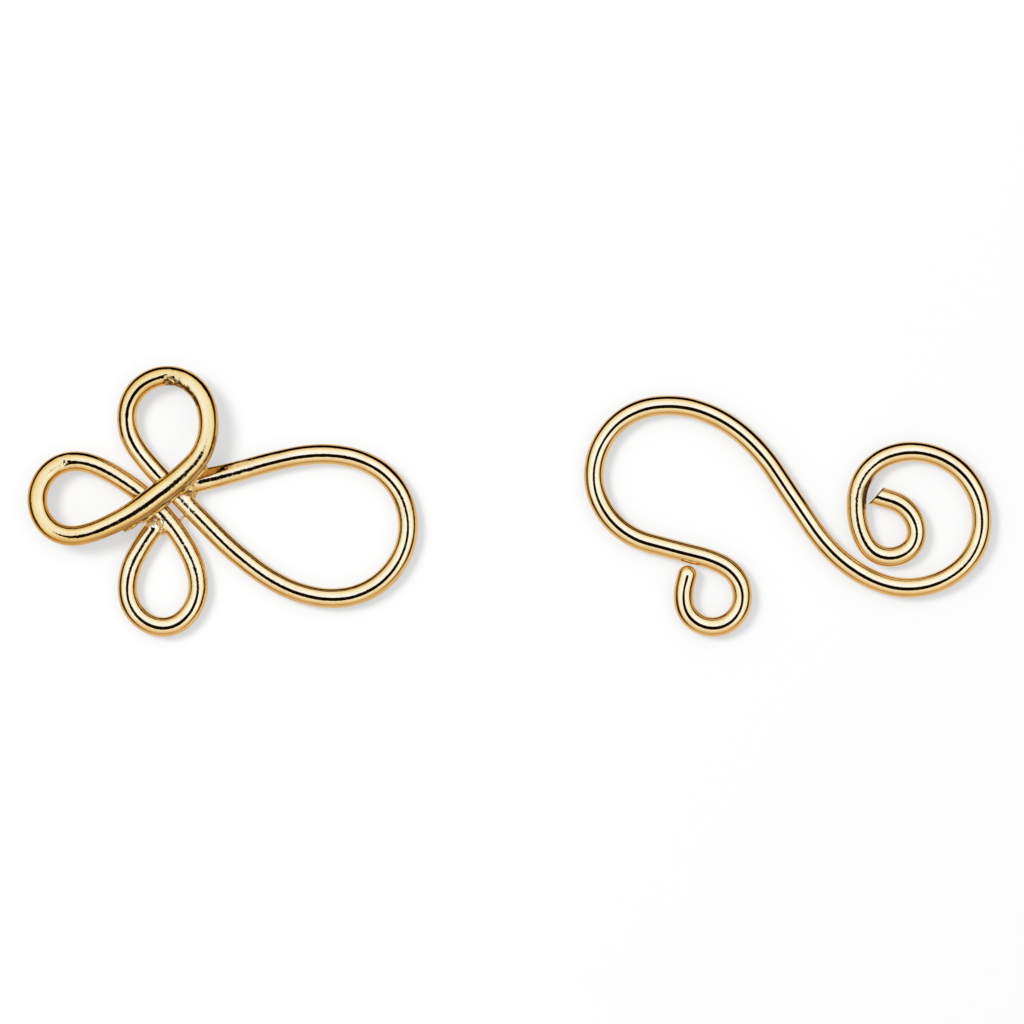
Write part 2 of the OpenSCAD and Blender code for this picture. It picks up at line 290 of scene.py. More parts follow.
def raw_cut(points, line, slant):
    """How brown a snipped end is, by the distance behind the plane of its slanted face: 1 on the rim of the
    face, fading out from 0.06 to 0.11 mm behind it, and half of that on the face itself."""
    along, across, _ = frames(line)
    off = points - line[-1]
    lean = np.radians(slant)
    behind = -off @ (along[-1] * np.cos(lean) - across[-1] * np.sin(lean))
    on_rim = np.clip((0.11 - behind) / 0.05, 0, 1) * (np.linalg.norm(off, axis=1) < 1.2)
    return on_rim * np.where(behind < 0.01, 0.5, 1)


marked(hook_wire, "brown_and_painted_shade", raw_cut(points, hook_line, CUT_SLANT))


def add_node(tree, kind, values=None, links=None, **settings):
    """Adds a node of this kind to a tree, with its own settings, the values of its inputs, and links from
    other nodes' outputs into its inputs."""
    made = tree.nodes.new(kind)
    for name, value in settings.items():
        setattr(made, name, value)
    for socket, value in (values or {}).items():
        made.inputs[socket].default_value = value
    for socket, output in (links or {}).items():
        tree.links.new(output, made.inputs[socket])
    return made


def set_stops(ramp, rows):
    """Puts rows of a place from 0 to 1 and three values on a colour ramp, the first at 0 and the last
    at 1."""
    stops = ramp.color_ramp.elements
    for at, *values in rows[1:-1]:
        stops.new(at).color = (*values, 1)
    stops[0].color = (*rows[0][1:], 1)
    stops[-1].color = (*rows[-1][1:], 1)


def linear(code):
    """Linear colour of an sRGB hex value: each channel c over 255 becomes ((c + 0.055) / 1.055) ^ 2.4, or
    c / 12.92 below 0.04045."""
    c = np.array([int(code[i:i + 2], 16) for i in (1, 3, 5)]) / 255
    return (*np.where(c > 0.04045, ((c + 0.055) / 1.055) ** 2.4, c / 12.92), 1.0)


# Gold plate, polished: brass wire burnished and plated with a few micrometres of gold in a bath. It
# mirrors its surroundings in warm yellow; the solder under the plate stays a little grainy and duller.
gold_plate = bpy.data.materials.new("gold_plate_polished")
gold_plate.use_nodes = True
tree = gold_plate.node_tree
tree.nodes.clear()
place = add_node(tree, "ShaderNodeTexCoord")

# sizes in millimetres of the polishing grain, the plate's clouds of colour, the patches of uneven polish and
# the solder's crystals, all coarser than the real ones so that they show
GRAIN, CLOUD, PATCH, CRYSTAL = 0.22, 1.6, 2.4, 0.3
grain = add_node(tree, "ShaderNodeTexNoise", {"Scale": 1 / (GRAIN * MM), "Detail": 3.0, "Roughness": 0.55},
                 {"Vector": place.outputs["Object"]})
cloud = add_node(tree, "ShaderNodeTexNoise", {"Scale": 1 / (CLOUD * MM), "Detail": 4.0, "Roughness": 0.6},
                 {"Vector": place.outputs["Object"]})
patch = add_node(tree, "ShaderNodeTexNoise", {"Scale": 1 / (PATCH * MM), "Detail": 2.0},
                 {"Vector": place.outputs["Object"]})
crystal = add_node(tree, "ShaderNodeTexNoise",
                   {"Scale": 1 / (CRYSTAL * MM), "Detail": 2.0, "Distortion": 1.5},
                   {"Vector": place.outputs["Object"]})
solder = add_node(tree, "ShaderNodeAttribute", attribute_name="solder")
polish = add_node(tree, "ShaderNodeAttribute", attribute_name="uneven_polish")
torch_and_painted_reflection = add_node(tree, "ShaderNodeAttribute", attribute_name="torch_and_painted_reflection")
brown_and_painted_shade = add_node(tree, "ShaderNodeAttribute", attribute_name="brown_and_painted_shade")

# the gold's colour, made warmer by the torch on the solder and by a painted reflection on the eye's raised
# wire and outer edge, and brown where it was cut or scuffed, with painted shade along the solder's ridge;
# TORCH_AND_REFLECTION_TINT is the share of red, green and blue that a warmed place keeps
TORCH_AND_REFLECTION_TINT = (0.9, 0.76, 0.42, 1)
colour = add_node(tree, "ShaderNodeValToRGB", links={"Fac": cloud.outputs["Fac"]})
colour.color_ramp.elements[0].position, colour.color_ramp.elements[1].position = 0.35, 0.65
colour.color_ramp.elements[0].color = linear("#DEB674")
colour.color_ramp.elements[1].color = linear("#E5C283")
warm = add_node(tree, "ShaderNodeMix", {7: TORCH_AND_REFLECTION_TINT},
                {"Factor": torch_and_painted_reflection.outputs["Fac"], 6: colour.outputs["Color"]}, data_type="RGBA",
                blend_type="MULTIPLY")
shown = add_node(tree, "ShaderNodeMix", {7: linear("#54380F")},
                 {"Factor": brown_and_painted_shade.outputs["Fac"], 6: warm.outputs[2]}, data_type="RGBA")

# roughness: a high polish, duller on the solder and most of all on the brown places and the painted shade
gloss = add_node(tree, "ShaderNodeMapRange",
                 {"From Min": 0.3, "From Max": 0.7, "To Min": 0.02, "To Max": 0.05},
                 {"Value": cloud.outputs["Fac"]})
rough = add_node(tree, "ShaderNodeMath", {1: 2.0}, {0: brown_and_painted_shade.outputs["Fac"], 2: solder.outputs["Fac"]},
                 operation="MULTIPLY_ADD")
dull = add_node(tree, "ShaderNodeMath", {1: 0.1}, {0: rough.outputs[0], 2: gloss.outputs["Result"]},
                operation="MULTIPLY_ADD")

# dents: grain in patches where the polish is uneven, and crystals on the solder
patchy = add_node(tree, "ShaderNodeMapRange",
                  {"From Min": 0.42, "From Max": 0.58, "To Min": 0.12, "To Max": 0.6},
                  {"Value": patch.outputs["Fac"]})
rippled = add_node(tree, "ShaderNodeMath", {2: 0.08}, {0: patchy.outputs["Result"], 1: polish.outputs["Fac"]},
                   operation="MULTIPLY_ADD")
coarse = add_node(tree, "ShaderNodeMath", {}, {0: crystal.outputs["Fac"], 1: solder.outputs["Fac"]},
                  operation="MULTIPLY")
uneven = add_node(tree, "ShaderNodeMath", {1: 14.0}, {0: coarse.outputs[0], 2: grain.outputs["Fac"]},
                  operation="MULTIPLY_ADD")
dents = add_node(tree, "ShaderNodeBump", {"Distance": 0.02 * MM},
                 {"Height": uneven.outputs[0], "Strength": rippled.outputs[0]})
shader = add_node(tree, "ShaderNodeBsdfPrincipled", {"Metallic": 1.0},
                  {"Base Color": shown.outputs[2], "Roughness": dull.outputs[0],
                   "Normal": dents.outputs["Normal"]})
add_node(tree, "ShaderNodeOutputMaterial", links={"Surface": shader.outputs["BSDF"]})

hook_wire.data.materials.append(gold_plate)
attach(hook_wire, "root")
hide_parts("hook")

# ---- The eye's wire and solder
# One length of the same wire bent to a big loop and three petals. Its crossings and both ends are run
# together with hard solder, which stands in the corners between the wires and is plated with them.
LOOP_L, LOOP_W, UPPER_L, UPPER_W = 16.6, 10.5, 8.4, 6.8
LEFT_L, LEFT_W, LOWER_L, LOWER_W = 9.0, 6.2, 9.1, 6.1
PASS_GAP, SOLDER_SINK = 0.3, 0.06
EYE_EASE = 0.3

# bends as above, in the order that the wire runs, with the layer that it reaches: 0 on the ground, 1 over the
# crossing
LOOP_BENDS = [(2.65, 6, 0), (2.1, -3.5, 0), (0.7, -10, 0), (0.49, -15, 0), (0.34, -16, 0), (0.265, -81, 0),
              (0.29, -64, 0), (0.375, -19.5, 0), (0.53, -13.5, 0), (0.7, -10.5, 0), (1.36, -8, 0),
              (7.5, -2, 0)]
UPPER_BENDS = [(3.1, -6, 0), (0.78, -9, 0.02), (0.38, -36.5, 0.12), (0.305, -137, 0.72), (0.365, -19, 0.82),
               (0.52, -40, 1), (0.4, -20, 1), (1.6, -12, 1)]
LEFT_BENDS = [(1.6, -5, 1), (1.75, -12, 0.96), (0.8, -10, 0.88), (0.365, -18, 0.8), (0.265, -171, 0.22),
              (0.355, -19, 0.12), (0.7, -9.5, 0.05), (1.54, -17, 0)]
LOWER_BENDS = [(1.29, -15.5, 0), (0.83, -8, 0), (0.55, -12, 0), (0.33, -59, 0), (0.22, -60, 0),
               (0.275, -70, 0), (0.46, -27, 0), (1.4, -10, 0)]
# heading of the wire where each loop leaves the crossing, and the way that the loop points
LOOP_WAY, UPPER_WAY, LEFT_WAY, LOWER_WAY = (10, -9), (135, 88), (218, 179), (-45.5, -92.5)

# the two wires that pass under the crossing; the places of the soldered ends of the big loop and of the lower
# petal beside them, along and out, and of the crossing wire along them, in shares of the wire's diameter
LOOP_END, LOWER_END, CROSS_ALONG = (0.26, 0.8), (0.7, 0.8), -0.3
PASS_ALONG, PASS_ACROSS = level(-45), level(45)
PASS_OFF = (WIRE_D + PASS_GAP) / 2
RISE = WIRE_D - SOLDER_SINK


def near_crossing(along, out, side):
    """Place near the crossing, from shares of the wire's diameter along the passing wires and outwards
    from the one on this side (1) or the other (-1)."""
    return along * WIRE_D * PASS_ALONG + side * (PASS_OFF + out * WIRE_D) * PASS_ACROSS


def turned(points, angle):
    """Points turned about the origin by an angle in degrees, seen from above."""
    c, s = level(angle)
    return points @ np.array([[c, s], [-s, c]])


def petal_path(rows, length, width, way, start, end, layer=0.0):
    """One loop of the eye: its bends, stretched along and across the way that it points to this length
    and width, laid from start to end with what is left over shared evenly by steps along it."""
    heading, axis = way
    path, _ = bend_path(rows, length, (0, 0), heading, layer)
    laid = turned(path[:, :2], -axis)
    long = (length - WIRE_R - turned(start, -axis)[0]) / laid[:, 0].max()
    wide = (width - WIRE_D) / np.ptp(laid[:, 1])
    placed = turned(laid * (long, wide), axis)
    share = (path[:, 3] / path[-1, 3])[:, None]
    return np.column_stack([start + placed + share * (end - start - placed[-1]), path[:, 2]])


loop_start, lower_end = near_crossing(*LOOP_END, 1), near_crossing(*LOWER_END, -1)
cross_at = CROSS_ALONG * WIRE_D * PASS_ALONG
eye_path = np.vstack([
    petal_path(LOOP_BENDS, LOOP_L, LOOP_W, LOOP_WAY, loop_start, PASS_OFF * PASS_ACROSS),
    petal_path(UPPER_BENDS, UPPER_L, UPPER_W, UPPER_WAY, PASS_OFF * PASS_ACROSS, cross_at),
    petal_path(LEFT_BENDS, LEFT_L, LEFT_W, LEFT_WAY, cross_at, -PASS_OFF * PASS_ACROSS, 1.0),
    petal_path(LOWER_BENDS, LOWER_L, LOWER_W, LOWER_WAY, -PASS_OFF * PASS_ACROSS, lower_end)])

# the eye lies with its left edge and lower edge on its solid's
eye_low = np.array(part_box("eye")[0]) / MM
crossing = eye_low[:2] + WIRE_R - eye_path[:, :2].min(axis=0)
eye_path[:, :2] += crossing
eye_line = eased(eye_path, EYE_EASE)
eye_line[:, 2] = WIRE_R + RISE * eye_line[:, 2]

# the soldered leg of the big loop was pressed with pliers: it is a little broader at its end, mostly on its
# right, with a flat on the upper side of its left edge, all running out over PRESS_L; the wire that lies over
# the others is pressed a little broader where it is up over them, running out over CROSS_L
PRESS_L, PRESS_WIDER, PRESS_SHIFT = 5.6, 0.17, 0.08
CROSS_L, CROSS_WIDER, UP_OVER = 2.4, 0.19, 0.7
along_eye = STEP * np.arange(len(eye_line))
pressed = np.clip(1 - along_eye / PRESS_L, 0, 1) ** 1.5
from_crossing = np.linalg.norm(eye_line - [*crossing, WIRE_R + RISE], axis=1)
eye_wide = WIRE_R * (1 + PRESS_WIDER * pressed
                     + CROSS_WIDER * np.exp(-0.5 * (from_crossing / CROSS_L) ** 2)
                     * (eye_line[:, 2] > WIRE_R + UP_OVER * RISE))
eye_line -= frames(eye_line)[1] * (PRESS_SHIFT * pressed)[:, None]
leg = np.arange(int(PRESS_L / STEP))


def nearest_on(points, line):
    """Number of the line's point that is nearest to each point, found in blocks of some 4000 points."""
    return np.concatenate([np.argmin(((block[:, None] - line[None]) ** 2).sum(axis=2), axis=1)
                           for block in np.array_split(points, len(points) // 4000 + 1)])


# the flat faces 35 degrees from straight up, by these shares to the left and up; it lies at FLAT_OUT of the
# wire's radius where it runs out, and FLAT_DEEP deeper at the leg's end
FLAT_LEFT, FLAT_UP, FLAT_OUT, FLAT_DEEP = 0.574, 0.819, 1.02, 0.13


def flat_of_leg(points):
    """How far points stand out past the pressed flat of the leg: their offset from the wire's middle line
    along the way that the flat faces, less the flat's distance from it. Gives also that way, and whether
    the points are within reach of the flat."""
    _, across, up = frames(eye_line[leg])
    nearest = nearest_on(points, eye_line[leg])
    facing = FLAT_LEFT * across[nearest] + FLAT_UP * up[nearest]
    limit = WIRE_R * (FLAT_OUT - FLAT_DEEP * pressed[nearest] ** 0.6)
    within = np.linalg.norm(points - eye_line[leg[-1]], axis=1) < PRESS_L
    return ((points - eye_line[nearest]) * facing).sum(axis=1) - limit, facing, within


def gathered(skins):
    """Several skins as one: points, quads and triangles, with each skin's numbers raised by the count of
    the points before it."""
    before = np.cumsum([0] + [len(points) for points, _, _ in skins[:-1]])
    return (np.vstack([points for points, _, _ in skins]),
            np.vstack([quads + first for (_, quads, _), first in zip(skins, before)]),
            np.vstack([fans + first for (_, _, fans), first in zip(skins, before)]))


# the wire is cut in thought where it comes within HUB_R of the crossing: inside, wire and solder are one
# skin; outside, each loop is a sleeve of wire that stands SLEEVE proud of that skin and hides its ends in it
HUB_R, SLEEVE = 3.5, 0.004
near = np.linalg.norm(eye_line[:, :2] - crossing, axis=1) < HUB_R
cuts = np.flatnonzero(np.diff(near.astype(int))) + 1
runs = np.split(np.arange(len(eye_line)), cuts)
hub_runs, loop_runs = runs[0::2], runs[1::2]

# a sleeve's end: a last ring just past the one before it, then a face square to the wire, with this many
# points of its line hidden in the skin
sleeve_end = [(0.01, 1, 0), (0.01, 0.9, 0)]
HIDDEN = 6
sleeves = []
for run in loop_runs:
    whole = np.arange(run[0] - HIDDEN, run[-1] + HIDDEN + 1)[::EVERY]
    points, quads, fans = skin(eye_line[whole], eye_wide[whole] + SLEEVE, WIRE_R + SLEEVE, SIDES, sleeve_end,
                               sleeve_end)
    if run is loop_runs[0]:
        proud, facing, within = flat_of_leg(points)
        points -= (np.clip(proud - SLEEVE, 0, None) * within)[:, None] * facing
    sleeves.append((points, quads, fans))

# drops of solder, the last one the thin web between the passing wires: the side of the crossing that a drop
# is on; its two ends as places along, out and up in shares of the wire's diameter, with their radius as such
# a share; and the reach in which it runs together with the rest
SOLDER = [(1, (0.3, 0.84, 0.52, 0.36), (0.8, 0.6, 0.42, 0.2), 0.3),
          (1, (0.05, 0.75, 0.8, 0.16), (0.5, 1.0, 0.78, 0.16), 0.3),
          (-1, (0.72, 0.86, 0.46, 0.3), (1.0, 0.6, 0.4, 0.16), 0.3),
          (-1, (0.66, 0.8, 0.62, 0.22), (0.35, 0.7, 0.8, 0.14), 0.3),
          (1, (1.35, -0.9, 0.5, 0.05), (1.35, -0.4, 0.5, 0.05), 0.12)]


def solder_place(drop, side):
    """Place and radius of one end of a solder drop."""
    along, out, up, size = drop
    flat = crossing + near_crossing(along, out, side)
    return np.array([flat[0], flat[1], up * WIRE_D]), size * WIRE_D


def bar_field(points, a, b, ra, rb):
    """Distance to a bar with round ends from a to b, its radius going evenly from ra to rb, and the
    direction away from it."""
    t = np.clip((points - a) @ (b - a) / max((b - a) @ (b - a), 1e-9), 0, 1)[:, None]
    off = points - (a + t * (b - a))
    far = np.linalg.norm(off, axis=1) + 1e-9
    return far - (ra + (rb - ra) * t[:, 0]), off / far[:, None]


def wire_field(points, line, wide, high):
    """Distance to a wire of this half width and half height along a line, and the direction away from it:
    the nearest point of the line is found, the part of the offset along the line is left out except past
    the ends, and the part across is taken as a share of the width."""
    along, across, up = frames(line)
    wide, high = np.broadcast_to(wide, len(line)), np.broadcast_to(high, len(line))
    nearest = nearest_on(points, line)
    squeeze = (high / wide)[nearest]
    off = points - line[nearest]
    slip = np.where((nearest > 0) & (nearest < len(line) - 1), 0, (off * along[nearest]).sum(axis=1))
    level_part, up_part = (off * across[nearest]).sum(axis=1) * squeeze, (off * up[nearest]).sum(axis=1)
    far = np.sqrt(level_part ** 2 + up_part ** 2 + slip ** 2) + 1e-9
    way = (slip[:, None] * along[nearest] + (level_part * squeeze)[:, None] * across[nearest]
           + up_part[:, None] * up[nearest])
    return far - high[nearest], way / far[:, None]


def run_together(first, second, reach):
    """Union of two distances in which solder fills the corner: where they differ by less than reach,
    h = 1 - |a - b| / reach, the smaller is lowered by h^2 reach / 4 and the directions are mixed by h / 2."""
    (a, way_a), (b, way_b) = first, second
    h = np.clip(1 - np.abs(a - b) / reach, 0, 1)
    part = np.where(a < b, h / 2, 1 - h / 2)[:, None]
    way = way_a * (1 - part) + way_b * part
    return np.minimum(a, b) - h * h * reach / 4, way


# a thin wavy ridge of solder has crept along the lower right side, seen from above, of the wire that lies
# over the others: its radius, how far its middle stands out past the wire's side, and how many steps from the
# ends of the run it stops
RIDGE_R, RIDGE_OUT, RIDGE_SHORT = 0.13, 0.03, 6
over_run = hub_runs[2]
_, over_across, _ = frames(eye_line[over_run])
ridge_run = np.arange(len(over_run))[RIDGE_SHORT:-RIDGE_SHORT:EVERY]
ridge_along = STEP * ridge_run
ridge_out = (eye_wide[over_run][ridge_run] + RIDGE_OUT + 0.035 * np.sin(ridge_along * 4.1)
             + 0.015 * np.sin(ridge_along * 9.7))
ridge_line = eye_line[over_run][ridge_run] + over_across[ridge_run] * ridge_out[:, None]
ridge_size = RIDGE_R + 0.025 * np.sin(ridge_along * 6.3 + 1)

# reach of the solder in the corners: between the loop's end and the pass beside it, the petal's end and the
# pass beside it, the two pairs, the crossing wire and all under it, and round the ridge
LOOP_REACH, PETAL_REACH, PAIR_REACH, OVER_REACH, RIDGE_REACH = 0.5, 0.45, 0.1, 0.12, 0.04


def hub_field(points):
    """Distance to the soldered crossing: the wires, with the drops of solder and the corners run
    together. Gives the distance, its direction and the distance to the bare wires and the ridge."""
    wires = [wire_field(points, eye_line[run], eye_wide[run], WIRE_R) for run in hub_runs]
    proud, facing, within = flat_of_leg(points)
    cut_off = (proud > wires[0][0]) & within
    wires[0] = np.where(cut_off, proud, wires[0][0]), np.where(cut_off[:, None], facing, wires[0][1])
    bare = np.min([wire[0] for wire in wires], axis=0)
    loop_end, loop_pass, over, lower_pass, petal_end = wires
    joined = run_together(run_together(loop_end, loop_pass, LOOP_REACH),
                          run_together(petal_end, lower_pass, PETAL_REACH), PAIR_REACH)
    joined = run_together(joined, over, OVER_REACH)
    for side, first, last, reach in SOLDER:
        (a, ra), (b, rb) = solder_place(first, side), solder_place(last, side)
        joined = run_together(joined, bar_field(points, a, b, ra, rb), reach)
    ridge = wire_field(points, ridge_line, ridge_size, ridge_size)
    joined, bare = run_together(joined, ridge, RIDGE_REACH), np.minimum(bare, ridge[0])
    return joined[0], joined[1], bare


def drawn_on(points, times):
    """Points moved onto the hub's skin: each step takes off the distance along its direction g by
    distance * g / |g|^2, where |g|^2 counts as 0.2 at least."""
    for _ in range(times):
        distance, way, _ = hub_field(points)
        points = points - (distance / np.maximum((way * way).sum(axis=1), 0.2))[:, None] * way
    return points


# the hub's first net of faces comes from a remesh of its plain wires, drops and ridge, at one unit per mm
NET_SIZE, SMOOTHINGS = 0.06, 6
dome = round_end(WIRE_R, 0.9, 8)
cores = [skin(eye_line[run][::EVERY], WIRE_R, WIRE_R, 32, dome, dome) for run in hub_runs]
for side, first, last, _ in SOLDER:
    (a, ra), (b, rb) = solder_place(first, side), solder_place(last, side)
    t = np.linspace(0, 1, 9)
    size = ra + (rb - ra) * t
    cores.append(skin(a + t[:, None] * (b - a), size, size, 16, round_end(ra, 1, 5), round_end(rb, 1, 5)))
ridge_end = round_end(0.1, 1, 5)
cores.append(skin(ridge_line, ridge_size, ridge_size, 16, ridge_end, ridge_end))
points, quads, fans = gathered(cores)
core = bpy.data.meshes.new("hub_core")
core.from_pydata(points.tolist(), [], quads.tolist() + fans.tolist())
core_object = bpy.data.objects.new("hub_core", core)
bpy.context.scene.collection.objects.link(core_object)
remesh = core_object.modifiers.new("net", "REMESH")
remesh.mode = "VOXEL"
remesh.voxel_size = NET_SIZE
bpy.context.view_layer.update()
net = bpy.data.meshes.new_from_object(core_object.evaluated_get(bpy.context.evaluated_depsgraph_get()))
hub_points = np.empty(len(net.vertices) * 3)
net.vertices.foreach_get("co", hub_points)
hub_points = hub_points.reshape(-1, 3)
edges = np.empty(len(net.edges) * 2, int)
net.edges.foreach_get("vertices", edges)
edges = edges.reshape(-1, 2)
corners = np.empty(len(net.loops), int)
net.loops.foreach_get("vertex_index", corners)
hub_quads = corners.reshape(-1, 4)
bpy.data.objects.remove(core_object)
bpy.data.meshes.remove(core)

# each smoothing moves the points half way to the middle of their neighbours and back onto the skin
hub_points = drawn_on(hub_points, 2)
degree = np.bincount(edges.ravel(), minlength=len(hub_points))[:, None]
for _ in range(SMOOTHINGS):
    total = np.zeros_like(hub_points)
    np.add.at(total, edges[:, 0], hub_points[edges[:, 1]])
    np.add.at(total, edges[:, 1], hub_points[edges[:, 0]])
    hub_points = drawn_on(hub_points + 0.5 * (total / degree - hub_points), 1)
hub_points = drawn_on(hub_points, 3)

# the solder is uneven, most of all where it stands BARE or more off the wires: height, longest and shortest
# wave; none of it sinks into the board
BARE = 0.05
SOLDER_WAVES = (0.035, 0.5, 0.22)
_, way, bare = hub_field(hub_points)
grainy = np.clip(bare / BARE, 0, 1)
hub_points += way * (grainy * hand_waves(hub_points, 11, *SOLDER_WAVES))[:, None]
hub_points[:, 2] = np.maximum(hub_points[:, 2], 0)

eye_wire = mesh_object("eye_wire", *gathered(sleeves + [(hub_points, hub_quads, np.empty((0, 3), int))]))
moved_out(eye_wire, lambda points: hand_waves(points, 7, *WIRE_WAVES))

# small pits that the polishing has left on the inside of two petals: place and reach of each spot, and depth,
# longest and shortest wave
PITS = ((-21.95, 7.8, 0.55), (-28.9, 2.5, 0.35))
PIT_WAVES = (0.2, 0.6, 0.2)
for x, y, reach in PITS:
    moved_out(eye_wire, lambda points: -np.abs(hand_waves(points, 13, *PIT_WAVES)) * np.exp(
        -((points[:, 0] - x) ** 2 + (points[:, 1] - y) ** 2) / reach ** 2))

# the torch has left the eye's polish uneven, most of all near the solder and on the pressed leg
points = mesh_points(eye_wire)
from_hub = np.linalg.norm(points[:, :2] - crossing, axis=1)
soldered = np.zeros(len(points))
near_hub = from_hub < HUB_R - 0.1
soldered[near_hub] = np.clip(hub_field(points[near_hub])[2] / BARE - 0.4, 0, 1)
marked(eye_wire, "solder", soldered)
proud, _, within = flat_of_leg(points)
on_flat = (np.abs(proud) < 0.03) & within
on_leg = np.linalg.norm(points - eye_line[leg[len(leg) // 3]], axis=1) < PRESS_L / 2
marked(eye_wire, "uneven_polish", 0.45 + 0.55 * np.exp(-(from_hub / 6) ** 2) + 1.2 * on_flat + 1.2 * on_leg)

# the torch has warmed the colour of the solder; where the wire stands off the soldering board, and on its
# outer edge, the warmer colour is a painted reflection, least in a strip on its inner half and beside the
# middle of the crossing wire, which are left paler as painted highlights; the leg's flat is warm too; side is
# 1 on the left edge of the wire, which is the outside of the loops, and -1 on the inside
_, across, _ = frames(eye_line)
nearest = 5 * nearest_on(points, eye_line[::5])
side = ((points - eye_line[nearest]) * across[nearest]).sum(axis=1) / eye_wide[nearest]
raised = np.clip((eye_line[nearest, 2] - WIRE_R) / RISE / 0.35, 0, 1)
at_crossing = np.exp(-(from_hub / 4.5) ** 2)
# the pale strips are painted highlights, where the warm tint is taken off
pale = 0.45 * np.exp(-((side + 0.35) / 0.3) ** 2) + 0.3 * at_crossing * np.exp(-((side - 0.25) / 0.15) ** 2)
warm_and_painted_reflection = raised * (0.75 - 0.5 * side * at_crossing - pale) + 0.8 * soldered + 0.25 * on_flat + (side > 0.93)
marked(eye_wire, "torch_and_painted_reflection", np.clip(warm_and_painted_reflection, 0, 1))

# painted shade: a band on the crossing wire beside the ridge of solder, and a line at its edge in the groove
# between them, are painted browner where shade falls
over_part = (eye_line[nearest, 2] > WIRE_R + 0.9 * RISE) * at_crossing
groove_painted_shade = (0.5 * np.exp(-((side - 0.78) / 0.17) ** 2) * (side < 0.9)
             + 0.9 * np.exp(-((side - 0.97) / 0.05) ** 2))

# a scuffed streak runs along the inside of the upper petal's top, from crinkles at its first end, t = 0, to
# a thin tail at t = 1
SCUFF_AT, SCUFF_L = (-22.4, 8.15), 3.4
scuff_start = along_eye[np.argmin(np.linalg.norm(eye_line[:, :2] - SCUFF_AT, axis=1))]
t = (along_eye[nearest] - scuff_start) / SCUFF_L
half_width = 0.34 - 0.22 * t.clip(0, 1)
streak = np.clip(3 - 2 * np.abs(side + 0.5 + 0.27 * t) / half_width, 0, 1) * (points[:, 2] > WIRE_R)
crinkled = np.clip(0.7 + hand_waves(points, 17, 3.2, 0.4, 0.14) + 2 * (t - 0.2), 0, 1)
scuffed = streak * crinkled * (t > 0) * (t < 1)
# on the eye the brown mark is the painted shade in the groove and the scuffed streak
marked(eye_wire, "brown_and_painted_shade", np.clip(over_part * groove_painted_shade + scuffed, 0, 1))
eye_wire.data.materials.append(gold_plate)
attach(eye_wire, "root")
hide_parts("eye")

# ---- The studio
# A sheet of matt white board under a white light tent. The tent's opening for the lens, and the unlit room
# seen between its rim and the board, are the dark lines that the polished wire mirrors.

# the board reaches HALF from its middle to each side and lies at the height UNDER, in metres; a glow of its
# own stands for most of the light from all round and keeps the shadows pale, and the wire doesn't mirror it
HALF, UNDER = 4, -1e-5
floor_corners = [(-HALF, -HALF, UNDER), (HALF, -HALF, UNDER), (HALF, HALF, UNDER), (-HALF, HALF, UNDER)]
floor_mesh = bpy.data.meshes.new("floor")
floor_mesh.from_pydata(floor_corners, [], [(0, 1, 2, 3)])
floor = bpy.data.objects.new("floor", floor_mesh)
bpy.context.scene.collection.objects.link(floor)
board = bpy.data.materials.new("white_board")
board.use_nodes = True
tree = board.node_tree
tree.nodes.clear()
shader = add_node(tree, "ShaderNodeBsdfPrincipled",
                  {"Base Color": (0.12, 0.12, 0.12, 1), "Roughness": 0.6, "Specular IOR Level": 0.0,
                   "Emission Color": (1, 1, 1, 1), "Emission Strength": 0.535})
add_node(tree, "ShaderNodeOutputMaterial", links={"Surface": shader.outputs["BSDF"]})
floor_mesh.materials.append(board)
floor.visible_glossy = False

tent = bpy.data.worlds.new("tent")
bpy.context.scene.world = tent
tent.use_nodes = True
tree = tent.node_tree
tree.nodes.clear()
direction = add_node(tree, "ShaderNodeTexCoord")
parts = add_node(tree, "ShaderNodeSeparateXYZ", links={"Vector": direction.outputs["Generated"]})
zenith = add_node(tree, "ShaderNodeMath", operation="ARCCOSINE", links={0: parts.outputs["Z"]})
share = add_node(tree, "ShaderNodeMath", {1: np.pi}, {0: zenith.outputs[0]}, operation="DIVIDE")
flat = add_node(tree, "ShaderNodeCombineXYZ", links={"X": parts.outputs["X"], "Y": parts.outputs["Y"]})
flat_unit = add_node(tree, "ShaderNodeVectorMath", links={0: flat.outputs[0]}, operation="NORMALIZE")
toward = add_node(tree, "ShaderNodeVectorMath", {1: (*level(90), 0)}, {0: flat_unit.outputs[0]},
                  operation="DOT_PRODUCT")
room_side = add_node(tree, "ShaderNodeMapRange", {"From Min": -0.95, "From Max": -0.5},
                     {"Value": toward.outputs["Value"]}, interpolation_type="SMOOTHSTEP")
azimuth = add_node(tree, "ShaderNodeMath", links={0: parts.outputs["Y"], 1: parts.outputs["X"]},
                   operation="ARCTAN2")
around = add_node(tree, "ShaderNodeMapRange", {"From Min": -np.pi, "From Max": np.pi},
                  {"Value": azimuth.outputs[0]})

# the tent's wall is brightest round the top, and the board below it mirrors as one with it: rows of degrees
# from straight up and brightness, up to TENT
TENT = 4.2
FAR_SIDE = [(0, 4.2), (30, 3.6), (47, 2.7), (60, 1.9), (75, 1.4), (100, 1.0), (120, 0.95), (180, 0.9)]
NEAR_SIDE = [(0, 3.4), (25, 2.9), (35, 2.4), (47, 1.7), (60, 1.2), (74, 0.8), (89, 0.66), (106, 0.82),
             (128, 0.9), (180, 0.9)]
far_side = add_node(tree, "ShaderNodeValToRGB", links={"Fac": share.outputs[0]})
near_side = add_node(tree, "ShaderNodeValToRGB", links={"Fac": share.outputs[0]})
set_stops(far_side, [(angle / 180, *[light / TENT] * 3) for angle, light in FAR_SIDE])
set_stops(near_side, [(angle / 180, *[light / TENT] * 3) for angle, light in NEAR_SIDE])

